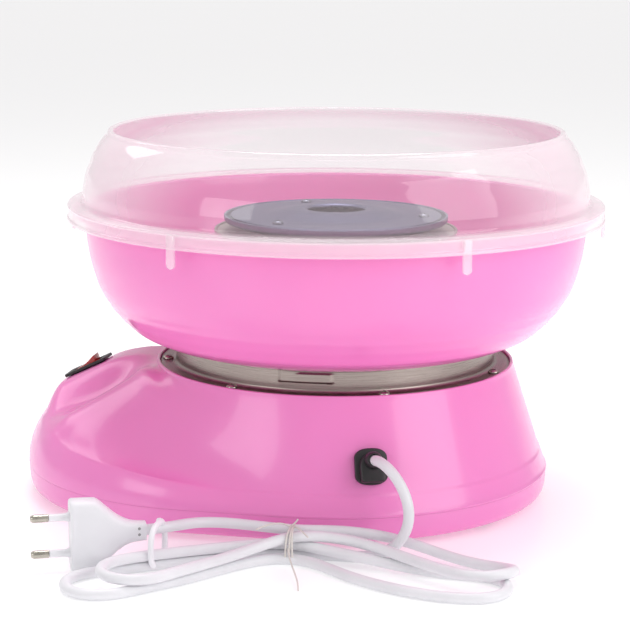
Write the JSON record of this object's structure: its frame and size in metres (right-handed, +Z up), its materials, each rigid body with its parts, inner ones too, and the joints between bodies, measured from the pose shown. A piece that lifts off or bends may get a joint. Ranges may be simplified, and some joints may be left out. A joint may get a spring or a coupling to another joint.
{
  "type": "cotton candy machine",
  "caption": "Round table-top candy floss maker with a pink base and bowl, a steel collar, a clear splash guard, a spinning head, a rocker switch and a corded plug.",
  "frame": {"origin": "on the table, under the middle of the box around the machine without its mains lead", "axes": "+Z up; the nose with the switch points to -Y; the mains lead leaves on the +X side"},
  "size_m": [0.368, 0.3154, 0.2004],
  "materials": {
    "pink_plastic": "glossy moulded pink plastic",
    "clear_plastic": "clear moulded plastic with a faint pink tint",
    "collar_steel": "spun and brushed stainless steel",
    "inner_steel": "plain pressed steel",
    "head_aluminium": "satin aluminium",
    "bronze": "sintered bronze",
    "nickel": "bright nickel plate",
    "black_plastic": "moulded black plastic",
    "switch_red": "glossy red plastic",
    "foot_rubber": "soft dark rubber",
    "ceramic": "unglazed ceramic",
    "cord_white": "white cable sheath and mouldings"
  },
  "bodies": {
    "base": {"base_housing": "pink_plastic", "bottom_cover": "pink_plastic", "steel_collar": "collar_steel", "heater_can": "collar_steel", "heat_shield": "inner_steel", "heater_ring": "inner_steel", "motor_mount": "inner_steel", "motor_body": "inner_steel", "mount_screw_1": "inner_steel", "mount_screw_2": "inner_steel", "mount_screw_3": "inner_steel", "base_screw_1": "inner_steel", "base_screw_2": "inner_steel", "base_screw_3": "inner_steel", "base_screw_4": "inner_steel", "shaft_bush": "bronze", "collar_screw_1": "nickel", "collar_screw_2": "nickel", "collar_screw_3": "nickel", "collar_screw_4": "nickel", "collar_screw_5": "nickel", "collar_screw_6": "nickel", "collar_screw_7": "nickel", "plug_pin_1": "nickel", "plug_pin_2": "nickel", "switch_bezel": "black_plastic", "strain_relief": "black_plastic", "thermal_cutout": "black_plastic", "foot_1": "foot_rubber", "foot_2": "foot_rubber", "foot_3": "foot_rubber", "foot_4": "foot_rubber", "heater_post_1": "ceramic", "heater_post_2": "ceramic", "heater_post_3": "ceramic", "terminal_block": "cord_white", "cord_lead_tube": "cord_white", "cord_hank_right": "cord_white", "cord_hank_left": "cord_white", "cord_tie": "cord_white", "cord_plug_tube": "cord_white", "plug_body": "cord_white"},
    "motor_shaft": {"motor_shaft": "collar_steel", "drive_pin": "collar_steel", "cooling_fan": "black_plastic"},
    "extractor_head": {"extractor_pan": "head_aluminium", "extractor_cap": "head_aluminium", "head_screw_1": "nickel", "head_screw_2": "nickel", "head_screw_3": "nickel", "hub_cap": "head_aluminium"},
    "floss_bowl": {"floss_bowl": "pink_plastic"},
    "splash_guard": {"splash_guard": "clear_plastic"},
    "switch_rocker": {"switch_rocker": "switch_red"}
  },
  "joints": [
    {"name": "head_spin", "type": "hinge", "parent": "base", "child": "motor_shaft", "pos_m": [0, 0.01275, 0.1], "axis": [0, 0, 1], "continuous": true},
    {"name": "head_lift", "type": "slide", "parent": "motor_shaft", "child": "extractor_head", "axis": [0, 0, 1], "range_m": [0, 0.06]},
    {"name": "bowl_lift", "type": "slide", "parent": "base", "child": "floss_bowl", "axis": [0, 0, 1], "range_m": [0, 0.07]},
    {"name": "guard_lift", "type": "slide", "parent": "floss_bowl", "child": "splash_guard", "axis": [0, 0, 1], "range_m": [0, 0.08]},
    {"name": "switch_press", "type": "hinge", "parent": "base", "child": "switch_rocker", "pos_m": [0, -0.12725, 0.0626], "axis": [1, 0, 0], "range_deg": [-24, 0]}
  ]
}
